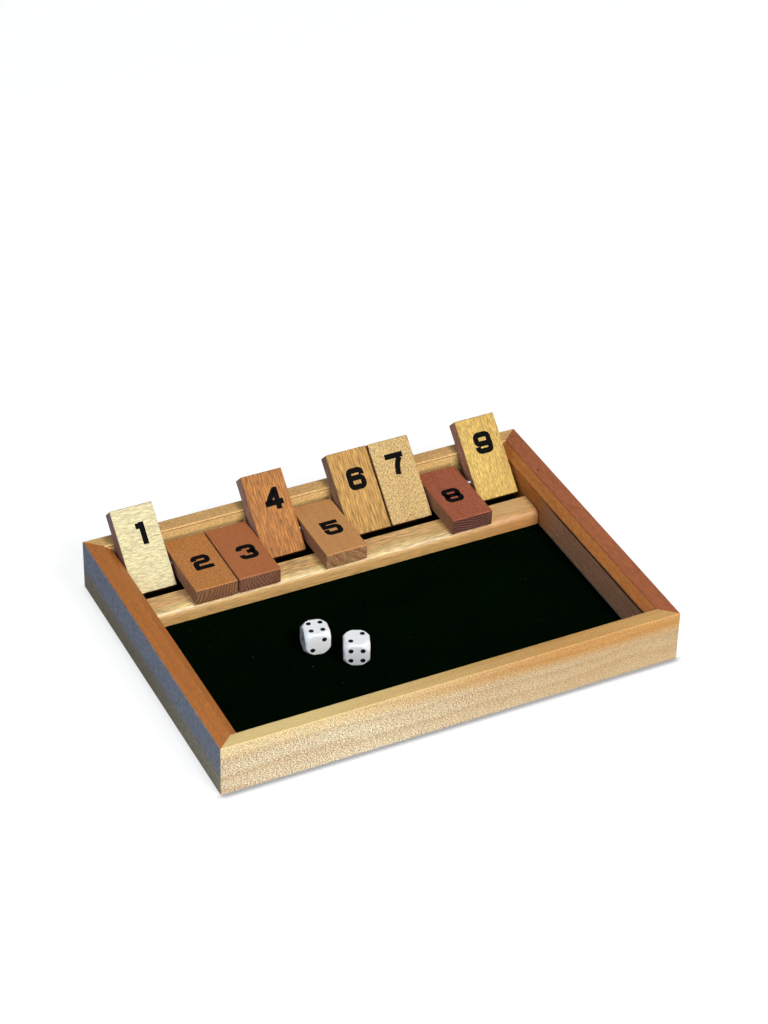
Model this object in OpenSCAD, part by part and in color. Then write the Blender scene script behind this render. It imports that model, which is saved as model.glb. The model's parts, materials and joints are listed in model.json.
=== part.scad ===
// Shut the box game: a shallow mitred tray with nine number tiles that swing
// on one steel rod, a rounded ledge that the tiles fall onto, a felt floor and
// two dice. Millimetres. X runs left to right as the player sees it, Y runs
// from the player to the back and Z is up. The origin is at the middle of the
// underside, on the surface that the box stands on.

/* [Box] */
// Outside width of the box, left to right
box_w = 280; // [262:1:330]
// Outside depth of the box, front to back
box_d = 200; // [180:1:240]
// Height of the four rails
box_h = 32; // [28:0.5:40]
// Thickness of the front and back rails
rail_t = 9.4; // [8:0.1:12]
// Thickness of the side rails
side_rail_t = 10.5; // [8:0.1:12]
// Rounding of the rails' outer top edges and upright corners
rail_round = 0.7; // [0.5:0.1:2]
// Rounding of the rails' inner top edges
rail_ease = 0.8; // [0.3:0.1:1]
// Rounding of the rails' outer bottom edges
rail_foot = 0.4; // [0.2:0.1:0.8]

/* [Floor] */
// Height of the floor panel's underside above the table
panel_z = 3; // [2:0.1:4]
// Thickness of the floor panel
panel_t = 3; // [2.4:0.1:4]
// Depth of the grooves that hold the floor panel
groove_depth = 4.5; // [3:0.1:5]
// Thickness of the felt on the floor panel
felt_t = 1.2; // [0.6:0.1:2]

/* [Side cheeks] */
// Thickness of the cheeks that line the side rails and carry the rod
cheek_t = 4.8; // [3.5:0.1:6]
// How far the cheeks' outer top edge lies below the rails' top
cheek_drop = 0.6; // [0.3:0.1:2]
// Fall of the cheeks' top towards the tray, in degrees
cheek_slope = 38; // [10:1:40]
// Rounding of the cheeks' inner top edge
cheek_round = 1; // [0.5:0.1:1.5]

/* [Number tiles] */
// Mean gap between the tiles along the rod
tile_gap = 1.58; // [0.8:0.01:4]
// Length of a tile from its tail to its head
tile_l = 50.4; // [46:0.1:60]
// Thickness of a tile
tile_t = 10; // [8:0.1:11]
// Length of a tile's tail behind the rod
tile_tail = 13.5; // [11:0.1:15]
// Rounding of a tile's edges
tile_round = 0.6; // [0.3:0.1:1.2]
// Room between the swinging tails and the back rail
tail_room = 3.2; // [1:0.1:6]
// Clearance between the swinging tails and the felt
tail_clear = 0.4; // [0.3:0.1:1.5]
// Gap left between a resting tile and what stops it
rest_gap = 0.15; // [0.1:0.05:0.4]

/* [Rod] */
// Diameter of the hinge rod
rod_d = 4; // [3:0.1:5]
// Radial clearance of the tiles on the rod
rod_run = 0.08; // [0.03:0.01:0.1]
// Radial clearance of the rod in the cheeks
rod_fit = 0.03; // [0.01:0.01:0.08]
// Gap between each end of the rod and the side rail that hides it
rod_end_gap = 0.3; // [0.1:0.1:0.6]

/* [Ledge] */
// Width of the ledge, front to back
ledge_w = 17; // [12:0.5:18]
// Radius of the ledge's front top edge
ledge_round = 4.8; // [2:0.1:6]
// Rounding of the ledge's rear top edge
ledge_ease = 0.6; // [0.3:0.1:1]
// How far the heads of the fallen tiles stand past the ledge's front
ledge_overhang = 0.6; // [0:0.1:3]
// Gap between each end of the ledge and its cheek
ledge_end_gap = 0.7; // [0.3:0.1:1.5]

/* [Dice] */
// Edge length of a die
die_s = 15; // [12:0.5:18]
// Rounding of a die's edges
die_round = 1.6; // [1:0.1:3]
// Diameter of the ball that a die's corners are turned to, as a part of its edge
die_ball = 1.36; // [1.3:0.01:1.45]
// Diameter of a pip
pip_d = 3; // [2:0.1:3.2]
// Depth of a pip
pip_depth = 0.55; // [0.3:0.05:0.9]
// Distance between the outer pips of a face
pip_pitch = 6.7; // [5:0.1:7.4]

/* [Hidden] */
$fn = 64;

// A cut runs this far past the face that it opens through
over = 1;
// Fit of wood beside wood where nothing moves
joint_fit = 0.1;
// Sideways slack of the floor panel in its grooves
panel_fit = 0.3;

// Inside of the frame of rails, and of the cheeks
inside_w = box_w - 2 * side_rail_t;
inside_d = box_d - 2 * rail_t;
tray_w = inside_w - 2 * cheek_t;

// Heights of the floor
panel_top = panel_z + panel_t;
felt_top = panel_top + felt_t;

// The rod lies where the tails just clear the felt and the back rail
tail_reach = norm([tile_tail - tile_round, tile_t / 2 - tile_round]) + tile_round;
rod_y = inside_d / 2 - tail_reach - tail_room;
rod_z = felt_top + tail_reach + tail_clear;
rod_l = inside_w - 2 * rod_end_gap;

// The ledge's top carries the fallen tiles level with the rod
ledge_top = rod_z - tile_t / 2 - rest_gap;
ledge_front = rod_y - (tile_l - tile_tail) + ledge_overhang;
ledge_l = tray_w - 2 * ledge_end_gap;

// A raised tile leans back until its rear face meets the rounded inner top
// edge of the back rail: the angle is worked out from that rounding's centre
stop_y = inside_d / 2 + rail_ease - rod_y;
stop_z = box_h - rail_ease - rod_z;
stop_distance = tile_t / 2 + rest_gap + rail_ease;
lean = atan2(stop_z, stop_y) + asin(stop_distance / norm([stop_y, stop_z]));

// The tiles share the rod between the cheeks, less the gaps
tile_count = 9;
slack = (tile_count + 1) * tile_gap;
tile_w = (tray_w - slack) / tile_count;

// How the tiles stand: true is raised, false has fallen onto the ledge
raised = [true, false, false, true, false, true, true, false, true];
// Shares of the slack along the rod that lie before each tile and after the last
gap_shares = [6, 18, 8, 9, 19, 10, 12, 14, 43, 18];

function sum_to(list, n) = n < 0 ? 0 : list[n] + sum_to(list, n - 1);
function tile_x(i) = -tray_w / 2 + (i + 0.5) * tile_w
    + slack * sum_to(gap_shares, i) / sum_to(gap_shares, tile_count);

// Where the dice lie on the felt, and how each is turned about Z
left_die_place = [-45.6, -15.1];
left_die_turn = -11;
right_die_place = [-28.8, -33.2];
right_die_turn = -23;

// A rectangle from the origin with its own radius at each named corner
module eased_rect(size, low_left = 0, low_right = 0, top_left = 0, top_right = 0) {
    difference() {
        square(size);
        corner_cut(low_left);
        translate([size[0], 0]) mirror([1, 0]) corner_cut(low_right);
        translate([0, size[1]]) mirror([0, 1]) corner_cut(top_left);
        translate(size) rotate(180) corner_cut(top_right);
    }
}

// What a rounding of radius r takes off a corner at the origin
module corner_cut(r) {
    if (r > 0)
        difference() {
            translate([-over, -over]) square(r + over);
            translate([r, r]) circle(r);
        }
}

// A block centred on the origin with all its edges rounded to radius r
module eased_block(size, r) {
    intersection() {
        linear_extrude(size[2], center = true) centred_rect([size[0], size[1]], r);
        rotate([90, 0, 0]) linear_extrude(size[1], center = true)
            centred_rect([size[0], size[2]], r);
        rotate([90, 0, 90]) linear_extrude(size[0], center = true)
            centred_rect([size[1], size[2]], r);
    }
}

module centred_rect(size, r) {
    translate(-size / 2) eased_rect(size, r, r, r, r);
}

// The section of a rail: the outside face is at x = 0 and the inside faces +X
module rail_section(thickness) {
    difference() {
        eased_rect([thickness, box_h], low_left = rail_foot, top_left = rail_round,
            top_right = rail_ease);
        translate([thickness - groove_depth, panel_z])
            square([groove_depth + over, panel_t + joint_fit]);
    }
}

// A mitred rail of outside length len along Y, with its outside at x = 0. The
// mitres run to the inside corners that it forms with the rails next to it.
module rail(len, thickness, next_thickness) {
    intersection() {
        rotate([90, 0, 0]) linear_extrude(len, center = true) rail_section(thickness);
        linear_extrude(box_h) polygon([
            [0, -len / 2], [thickness, next_thickness - len / 2],
            [thickness, len / 2 - next_thickness], [0, len / 2]
        ]);
    }
}

// What is left of a rail once the box's upright corners are rounded
module fitted() {
    intersection() {
        children();
        linear_extrude(box_h) centred_rect([box_w, box_d], rail_round);
    }
}

module front_rail() {
    color("burlywood") fitted()
        translate([0, -box_d / 2, 0]) rotate([0, 0, 90]) rail(box_w, rail_t, side_rail_t);
}

module back_rail() {
    color("burlywood") fitted()
        translate([0, box_d / 2, 0]) rotate([0, 0, -90]) rail(box_w, rail_t, side_rail_t);
}

module left_rail() {
    color("peru") fitted()
        translate([-box_w / 2, 0, 0]) rail(box_d, side_rail_t, rail_t);
}

module right_rail() {
    color("sienna") fitted()
        translate([box_w / 2, 0, 0]) rotate([0, 0, 180]) rail(box_d, side_rail_t, rail_t);
}

// The section of a cheek: its outer face is at x = 0, against the side rail
module cheek_section() {
    high = box_h - cheek_drop - panel_top;
    low = high - cheek_t * tan(cheek_slope);
    centre_z = low - cheek_round * tan(45 - cheek_slope / 2);
    centre_x = cheek_t - cheek_round;
    union() {
        polygon([
            [0, 0], [cheek_t, 0], [cheek_t, centre_z],
            [centre_x, centre_z],
            [centre_x + cheek_round * sin(cheek_slope), centre_z + cheek_round * cos(cheek_slope)],
            [0, high]
        ]);
        intersection() {
            translate([centre_x, centre_z]) circle(cheek_round);
            translate([0, centre_z]) square([cheek_t, high]);
        }
    }
}

module cheek() {
    difference() {
        translate([-inside_w / 2, 0, panel_top])
            rotate([90, 0, 0])
                linear_extrude(inside_d - 2 * joint_fit, center = true) cheek_section();
        rod_bore(rod_fit);
    }
}

module left_cheek() {
    color("peru") cheek();
}

module right_cheek() {
    color("sienna") mirror([1, 0, 0]) cheek();
}

// A bore on the rod's axis, right across the box
module rod_bore(clearance) {
    translate([0, rod_y, rod_z]) rotate([0, 90, 0])
        cylinder(d = rod_d + 2 * clearance, h = box_w, center = true);
}

module base_panel() {
    grip = 2 * (groove_depth - panel_fit);
    color("tan") translate([0, 0, panel_z + panel_t / 2])
        cube([inside_w + grip, inside_d + grip, panel_t], center = true);
}

module playing_felt() {
    color("darkgreen") translate([0, 0, panel_top + felt_t / 2])
        cube([tray_w - 2 * joint_fit, inside_d - 2 * joint_fit, felt_t], center = true);
}

module tile_ledge() {
    color("burlywood")
        translate([0, ledge_front, felt_top]) rotate([90, 0, 90])
            linear_extrude(ledge_l, center = true)
                eased_rect([ledge_w, ledge_top - felt_top], top_left = ledge_round,
                    top_right = ledge_ease);
}

module hinge_rod() {
    color("silver") translate([0, rod_y, rod_z]) rotate([0, 90, 0])
        cylinder(d = rod_d, h = rod_l, center = true);
}

// A tile on the rod's axis, with its head towards +Y
module tile_blank() {
    difference() {
        translate([0, tile_l / 2 - tile_tail, 0])
            eased_block([tile_w, tile_l, tile_t], tile_round);
        rotate([0, 90, 0])
            cylinder(d = rod_d + 2 * rod_run, h = tile_w + 2 * over, center = true);
    }
}

// Tile number i in its place on the rod, raised or fallen
module tile(i) {
    color(raised[i - 1] ? "navajowhite" : "chocolate")
        translate([tile_x(i - 1), rod_y, rod_z])
            rotate([raised[i - 1] ? lean : 180, 0, 0]) tile_blank();
}

// The places of a face's pips, in steps of half the outer pips' distance
function pip_places(n) =
    n == 1 ? [[0, 0]] :
    n == 2 ? [[-1, -1], [1, 1]] :
    n == 3 ? [[-1, -1], [0, 0], [1, 1]] :
    n == 4 ? [[-1, -1], [-1, 1], [1, -1], [1, 1]] :
    n == 5 ? [[-1, -1], [-1, 1], [0, 0], [1, -1], [1, 1]] :
    [[-1, -1], [-1, 0], [-1, 1], [1, -1], [1, 0], [1, 1]];

// The pips of one face, cut by balls into a face that looks along +Z
module pips(n) {
    ball_r = (pow(pip_d / 2, 2) + pow(pip_depth, 2)) / (2 * pip_depth);
    for (p = pip_places(n))
        translate([p[0] * pip_pitch / 2, p[1] * pip_pitch / 2, die_s / 2 + ball_r - pip_depth])
            sphere(ball_r);
}

// A die with the numbers top, front and left on those faces: opposite faces
// add up to seven
module die(top, front, left) {
    difference() {
        intersection() {
            eased_block([die_s, die_s, die_s], die_round);
            sphere(d = die_s * die_ball);
        }
        pips(top);
        rotate([180, 0, 0]) pips(7 - top);
        rotate([90, 0, 0]) pips(front);
        rotate([-90, 0, 0]) pips(7 - front);
        rotate([0, -90, 0]) pips(left);
        rotate([0, 90, 0]) pips(7 - left);
    }
}

module placed_die(place, turn, top, front, left) {
    color("white") translate([place[0], place[1], felt_top + die_s / 2])
        rotate([0, 0, turn]) die(top, front, left);
}

module left_die() {
    placed_die(left_die_place, left_die_turn, 4, 2, 1);
}

module right_die() {
    placed_die(right_die_place, right_die_turn, 2, 4, 6);
}

front_rail();
back_rail();
left_rail();
right_rail();
left_cheek();
right_cheek();
base_panel();
playing_felt();
tile_ledge();
hinge_rod();
for (i = [1 : tile_count])
    tile(i);
left_die();
right_die();
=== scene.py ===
"""Shut the box game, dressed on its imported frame.

The rails, cheeks, ledge, rod, tiles and dice are the frame's own solids and
get wood, steel and plastic finishes. The new pieces are the felt, the printed
numerals on both faces of each tile and the paint in the dice's pips.
"""

from __future__ import annotations

import json
import logging
import math
from dataclasses import dataclass, field, replace
from enum import Enum
from typing import Any, Callable, Iterable

import bmesh
import bpy
from mathutils import Euler, Matrix, Vector


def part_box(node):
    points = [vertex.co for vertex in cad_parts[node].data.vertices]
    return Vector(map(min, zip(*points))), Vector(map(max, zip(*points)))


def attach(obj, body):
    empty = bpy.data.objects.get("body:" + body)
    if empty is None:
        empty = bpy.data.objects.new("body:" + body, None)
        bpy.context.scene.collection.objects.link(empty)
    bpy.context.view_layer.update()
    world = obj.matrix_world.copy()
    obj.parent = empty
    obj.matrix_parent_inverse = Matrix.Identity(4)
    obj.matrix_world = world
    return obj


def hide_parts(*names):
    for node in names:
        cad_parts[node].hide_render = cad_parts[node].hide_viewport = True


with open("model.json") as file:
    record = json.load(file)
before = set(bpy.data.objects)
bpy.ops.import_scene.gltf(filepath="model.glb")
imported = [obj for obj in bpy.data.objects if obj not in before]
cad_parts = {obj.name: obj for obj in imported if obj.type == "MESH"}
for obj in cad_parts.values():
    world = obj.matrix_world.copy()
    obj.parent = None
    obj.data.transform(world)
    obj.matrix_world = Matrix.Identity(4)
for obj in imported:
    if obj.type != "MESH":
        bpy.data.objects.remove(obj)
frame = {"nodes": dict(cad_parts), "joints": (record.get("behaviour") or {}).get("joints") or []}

log = logging.getLogger("shut_the_box")

MM = 0.001
ORIGIN = (0.0, 0.0, 0.0)
WHITE = (1.0, 1.0, 1.0)

# How far a step of a grain's seed moves its figure, in millimetres.
SEED_STEP = (3.1, 17.0, 5.3)

# How far a stain's pale and deep colours move from its middle, and what its pores
# keep of it: in red, in green and in blue.
PALER = (0.7, 1.0, 1.2)
DEEPER = (0.7, 1.1, 1.3)
PORE = (0.5, 0.38, 0.3)

Colour = tuple[float, float, float]
Node = bpy.types.Node
Socket = bpy.types.NodeSocket
Material = bpy.types.Material
Mesh = bmesh.types.BMesh


def tint(red: int, green: int, blue: int) -> Colour:
    """A paint chart colour as scene-linear light.

    Args:
        red: Red from 0 to 255.
        green: Green from 0 to 255.
        blue: Blue from 0 to 255.

    Returns:
        The three linear parts, from 0 to 1.
    """

    def linear(part: int) -> float:
        """One part of the colour as linear light."""
        share = part / 255
        return share / 12.92 if share <= 0.04045 else ((share + 0.055) / 1.055) ** 2.4

    return (linear(red), linear(green), linear(blue))


# ---- Shader sums ----


def math_method(operation: str, swapped: bool = False) -> Callable[..., Value]:
    """Makes a method of Value that adds one Math node.

    Args:
        operation: The Math node's operation.
        swapped: Whether the Value comes last, as it does in 1 - mask.

    Returns:
        The method.
    """

    def method(self: Value, *others: Any) -> Value:
        """The result of the node."""
        return self.sum(operation, *((*others, self) if swapped else (self, *others)))

    return method


class Value:
    """A number at each point of a surface; sums of it add their Math nodes."""

    def __init__(self, maker: NodeMaker, socket: Socket) -> None:
        """Wraps an output socket that carries a number, with the maker of its tree."""
        self.maker = maker
        self.socket = socket

    def sum(self, operation: str, *terms: Any, clamp: bool = False) -> Value:
        """The result of one Math node.

        Args:
            operation: The node's operation.
            terms: Numbers or Values.
            clamp: Whether the result is kept from 0 to 1.

        Returns:
            The result.
        """
        settings = {"operation": operation, "use_clamp": clamp}
        node = self.maker.add("ShaderNodeMath", settings, dict(enumerate(terms)))
        return Value(self.maker, node.outputs[0])

    __add__ = __radd__ = math_method("ADD")
    __sub__ = math_method("SUBTRACT")
    __rsub__ = math_method("SUBTRACT", swapped=True)
    __mul__ = __rmul__ = math_method("MULTIPLY")
    __truediv__ = math_method("DIVIDE")
    __pow__ = math_method("POWER")
    __abs__ = math_method("ABSOLUTE")
    most = math_method("MAXIMUM")
    root = math_method("SQRT")
    fraction = math_method("FRACT")

    def clamped(self) -> Value:
        """The value kept from 0 to 1."""
        return self.sum("ADD", self, 0.0, clamp=True)

    def rise(self, low: float, high: float) -> Value:
        """A soft step from 0 at low to 1 at high; with high below low it falls instead."""
        return ((self - low) / (high - low)).clamped()


class NodeMaker:
    """Adds nodes to the tree of one material or world."""

    def __init__(self, owner: Material | bpy.types.World) -> None:
        """Empties the tree of a new material or world.

        Args:
            owner: The material or the world.
        """
        self.owner = owner
        owner.use_nodes = True
        self.tree = owner.node_tree
        self.tree.nodes.clear()

    @classmethod
    def material(cls, name: str) -> NodeMaker:
        """Starts a new material of that name."""
        return cls(bpy.data.materials.new(name))

    def add(
        self, kind: str, settings: dict[str, Any] | None = None, inputs: dict[Any, Any] | None = None
    ) -> Node:
        """Adds a node of any type.

        Args:
            kind: The node's type.
            settings: Its settings, set first.
            inputs: Numbers, colours, Values or sockets for its inputs, by name or number.

        Returns:
            The node.
        """
        node = self.tree.nodes.new(kind)
        for name, value in (settings or {}).items():
            setattr(node, name, value)
        for name, value in (inputs or {}).items():
            source = value.socket if isinstance(value, Value) else value
            if isinstance(source, Socket):
                self.tree.links.new(source, node.inputs[name])
            else:
                node.inputs[name].default_value = source
        return node

    def mix(self, share: Any, first: Any, second: Any) -> Socket:
        """Mixes two colours.

        Args:
            share: How much of the second colour, from 0 to 1.
            first: A Colour or a colour socket.
            second: The same.

        Returns:
            The mixed colour's socket.
        """
        colours = [(*c, 1.0) if isinstance(c, tuple) else c for c in (first, second)]
        inputs = {0: share, 6: colours[0], 7: colours[1]}
        return self.add("ShaderNodeMix", {"data_type": "RGBA"}, inputs).outputs[2]

    def blend(self, share: Any, first: Node, second: Node) -> Node:
        """Mixes two shaders, with a share of the second from 0 to 1."""
        inputs = {0: share, 1: first.outputs[0], 2: second.outputs[0]}
        return self.add("ShaderNodeMixShader", None, inputs)

    def shader(self, kind: str, colour: Colour, **inputs: float) -> Node:
        """Adds a plain shader of one colour, such as Emission, with its other inputs."""
        return self.add(f"ShaderNode{kind}", None, {"Color": (*colour, 1.0), **inputs})

    def place(self, origin: Iterable[float] = ORIGIN, turn: Iterable[float] = ORIGIN) -> Socket:
        """Places in millimetres in a piece's own frame.

        Args:
            origin: The frame's origin in the object, in metres.
            turn: The frame's turn in the object, as Euler angles.

        Returns:
            The socket that carries the place.
        """
        here = self.add("ShaderNodeTexCoord").outputs["Object"]
        inputs = {"Vector": here, "Location": origin, "Rotation": turn, "Scale": (MM, MM, MM)}
        return self.add("ShaderNodeMapping", {"vector_type": "TEXTURE"}, inputs).outputs["Vector"]

    def parts(self, vector: Socket) -> tuple[Value, Value, Value]:
        """The three parts of a vector."""
        node = self.add("ShaderNodeSeparateXYZ", None, {0: vector})
        return tuple(Value(self, node.outputs[i]) for i in range(3))

    def vector(self, operation: str, vector: Socket, by: Any) -> Socket:
        """The result of a Vector Math node, by another vector or for SCALE by a number."""
        inputs = {0: vector, "Scale" if operation == "SCALE" else 1: by}
        return self.add("ShaderNodeVectorMath", {"operation": operation}, inputs).outputs[0]

    def noise(
        self, vector: Socket, factors: tuple[float, float, float],
        detail: float = 3.0, roughness: float = 0.5,
    ) -> Value:
        """Cloudy noise about 0.

        Args:
            vector: The place that it is read at.
            factors: How many clouds there are to a millimetre along each axis.
            detail: How many finer layers it has.
            roughness: How strong the finer layers are.

        Returns:
            The noise, from about -0.5 to 0.5.
        """
        node = self.add(
            "ShaderNodeTexNoise", {"normalize": True},
            {"Vector": self.vector("MULTIPLY", vector, factors), "Scale": 1.0,
             "Detail": detail, "Roughness": roughness},
        )
        return Value(self, node.outputs[0]) - 0.5

    def relief(self, height: Value, depth: float, strength: float = 1.0) -> Socket:
        """The normal of a relief from 0 to 1, with its depth in millimetres."""
        inputs = {"Strength": strength, "Distance": depth * MM, "Height": height}
        return self.add("ShaderNodeBump", None, inputs).outputs[0]

    def finish(self, **inputs: Any) -> Material:
        """Ends the material in a Principled shader.

        Args:
            inputs: The shader's inputs, with spaces in their names written as underscores.

        Returns:
            The material.
        """
        values = {name.replace("_", " "): value for name, value in inputs.items()}
        shader = self.add("ShaderNodeBsdfPrincipled", None, values)
        self.add("ShaderNodeOutputMaterial", None, {0: shader.outputs[0]})
        return self.owner


# ---- Finishes ----


@dataclass(frozen=True)
class Stain:
    """The colours of one cut of wood; some stains stand for painted light or shade.

    Attributes:
        pale: The early wood between the rings.
        deep: The late wood of the rings.
        pore: The short dark pores.
    """

    pale: Colour
    deep: Colour
    pore: Colour


@dataclass(frozen=True)
class Grain:
    """The figure of one cut of wood, in millimetres.

    Attributes:
        heart: Where the tree's heart lies beside the piece, across and through it.
        ring_gap: The distance between two growth rings.
        ring: How strongly the rings show.
        fibre: How strongly the fine fibres show.
        cloud: How strongly the tone drifts over the piece.
        pore: How strongly the pores show.
        flecks: How strongly the short flecks between the fibres show.
        fleck_length: How long they are.
        fleck_width: How wide they are.
        waver: How far the rings wander.
        turn: How far the grain is turned from the piece's length, in degrees.
        seed: Moves the figure, so that two pieces differ.
    """

    heart: tuple[float, float] = (14.0, -30.0)
    ring_gap: float = 3.2
    ring: float = 0.5
    fibre: float = 0.7
    cloud: float = 0.6
    pore: float = 0.4
    flecks: float = 1.5
    fleck_length: float = 1.6
    fleck_width: float = 0.7
    waver: float = 5.0
    turn: float = 0.0
    seed: float = 0.0


@dataclass(frozen=True)
class WoodFigure:
    """The parts of a wood shader that its colours are mixed by."""

    tone: Value
    pores: Value
    fibres: Value
    flecks: Value


@dataclass(frozen=True)
class Varnish:
    """A clear satin varnish over wood.

    Attributes:
        roughness: The wood's own roughness.
        specular: How strongly the wood itself shines.
        coat: How much varnish lies on it.
        coat_roughness: How dull the varnish is.
        relief: The depth of the grain under the varnish, in millimetres.
    """

    roughness: float = 0.6
    specular: float = 0.2
    coat: float = 0.1
    coat_roughness: float = 0.25
    relief: float = 0.05

    def over(
        self, maker: NodeMaker, colour: Socket, figure: WoodFigure
    ) -> Material:
        """Ends a wood material.

        Args:
            maker: The material's maker.
            colour: The wood's colour.
            figure: The wood's figure.

        Returns:
            The material.
        """
        height = (0.5 + figure.fibres * 0.6 - figure.pores * 0.5).clamped()
        return maker.finish(
            Base_Color=colour,
            Roughness=(self.roughness + figure.fibres * 0.25).clamped(),
            Specular_IOR_Level=self.specular,
            Coat_Weight=self.coat,
            Coat_Roughness=self.coat_roughness,
            Normal=maker.relief(height, self.relief, 0.6),
        )


def wood_figure(maker: NodeMaker, place: Socket, grain: Grain) -> WoodFigure:
    """Rings, fibres and pores of a solid piece of wood, with the grain along Y.

    Args:
        maker: The material's maker.
        place: Places in the piece, in millimetres.
        grain: The figure's sizes and strengths.

    Returns:
        The figure.
    """
    if grain.turn:
        turn = {"Vector": place, "Angle": math.radians(grain.turn)}
        place = maker.add(
            "ShaderNodeVectorRotate", {"rotation_type": "Z_AXIS"}, turn
        ).outputs[0]
    moved = maker.vector("ADD", place, tuple(grain.seed * step for step in SEED_STEP))

    def streaks(
        across: float, along: float, detail: float = 3.0, roughness: float = 0.5
    ) -> Value:
        """Noise drawn out along the grain, with its clouds to a millimetre each way."""
        return maker.noise(moved, (across, along, across), detail, roughness)

    across, _, through = maker.parts(place)
    drift = streaks(0.035, 0.007, 2.0)
    ripple = streaks(0.35, 0.02, 2.0)
    side = across - grain.heart[0] + drift * (3 * grain.waver)
    depth = through - grain.heart[1] + drift * grain.waver
    radius = (side * side + depth * depth).root() + ripple * (0.5 * grain.ring_gap)
    phase = (radius / grain.ring_gap).fraction()
    late = (phase ** 2.2) * phase.rise(1.0, 0.86)
    fibres = streaks(2.6, 0.07, 4.0, 0.62)
    cloud = streaks(0.05, 0.012)
    pores = streaks(3.4, 0.32, 2.0).rise(0.09, 0.19)
    flecks = streaks(1.0 / grain.fleck_width, 1.0 / grain.fleck_length, 1.0) * grain.flecks
    even_tone, late_share = 0.42, 0.25
    rings = (late - late_share) * grain.ring
    tone = even_tone + rings + fibres * grain.fibre + cloud * grain.cloud
    return WoodFigure(tone.clamped(), pores * grain.pore, fibres, flecks)


def stained(maker: NodeMaker, figure: WoodFigure, stain: Stain, flecks: float = 1.0) -> Socket:
    """The colour of wood with a stain's colours.

    Args:
        maker: The material's maker.
        figure: The wood's figure.
        stain: Its colours.
        flecks: How strongly the figure's flecks show.

    Returns:
        The colour's socket.
    """
    wood = maker.mix(figure.pores, maker.mix(figure.tone, stain.pale, stain.deep), stain.pore)
    darkest = 0.25
    return maker.vector("SCALE", wood, (1.0 + figure.flecks * flecks).most(darkest))


class Side(Enum):
    """Which way a rail's grain runs."""

    ALONG_X = 90.0
    ALONG_Y = 0.0

    def turn(self) -> Euler:
        """The turn of a frame whose Y runs along the grain."""
        return Euler((0.0, 0.0, -math.radians(self.value)))


@dataclass(frozen=True)
class Patch:
    """A part of a board that took its stain otherwise; some patches are painted light or shade.

    Attributes:
        stain: The patch's colours.
        where: Soft steps that the patch lies past, each with its axis, and where
            the step starts and ends, in millimetres.
        share: How much of the patch's colour shows.
        flecks: How strongly the board's flecks show in it.
    """

    stain: Stain
    where: tuple[tuple[int, float, float], ...]
    share: float = 1.0
    flecks: float = 1.0

    def mask(self, parts: tuple[Value, Value, Value]) -> Value:
        """Where the patch lies.

        Args:
            parts: The place, in millimetres.

        Returns:
            The mask, from 0 to its share.
        """
        mask = self.share
        for axis, low, high in self.where:
            mask = mask * parts[axis].rise(low, high)
        return mask


@dataclass(frozen=True)
class Knot:
    """A small dark pin knot on a board's top.

    Attributes:
        x: Its place to the right, in millimetres.
        y: Its place towards the back, in millimetres.
        radius: Its radius in millimetres.
        colour: Its colour.
    """

    x: float
    y: float
    radius: float = 0.7
    colour: Colour = tint(52, 26, 14)

    def mask(self, parts: tuple[Value, Value, Value]) -> Value:
        """Where the knot lies, from 0 to 1."""
        across, along = parts[0] - self.x, parts[1] - self.y
        return (across * across + along * along).root().rise(1.3 * self.radius, 0.7 * self.radius)


@dataclass(frozen=True)
class BoardWood:
    """The finish of a rail, a cheek, the ledge or the panel.

    Attributes:
        name: The material's name.
        stain: The board's colours.
        grain: Its figure.
        side: Which way its grain runs.
        varnish: What lies over it.
        patches: Its patches, one over another.
        knots: Its knots.
    """

    name: str
    stain: Stain
    grain: Grain
    side: Side
    varnish: Varnish = Varnish()
    patches: tuple[Patch, ...] = ()
    knots: tuple[Knot, ...] = ()

    def build(self) -> Material:
        """Makes the material.

        Returns:
            The material.
        """
        maker = NodeMaker.material(self.name)
        figure = wood_figure(maker, maker.place(turn=self.side.turn()), self.grain)
        parts = maker.parts(maker.place())
        colour = stained(maker, figure, self.stain)
        for patch in self.patches:
            wood = stained(maker, figure, patch.stain, patch.flecks)
            colour = maker.mix(patch.mask(parts), colour, wood)
        for knot in self.knots:
            colour = maker.mix(knot.mask(parts), colour, knot.colour)
        return self.varnish.over(maker, colour, figure)


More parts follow.
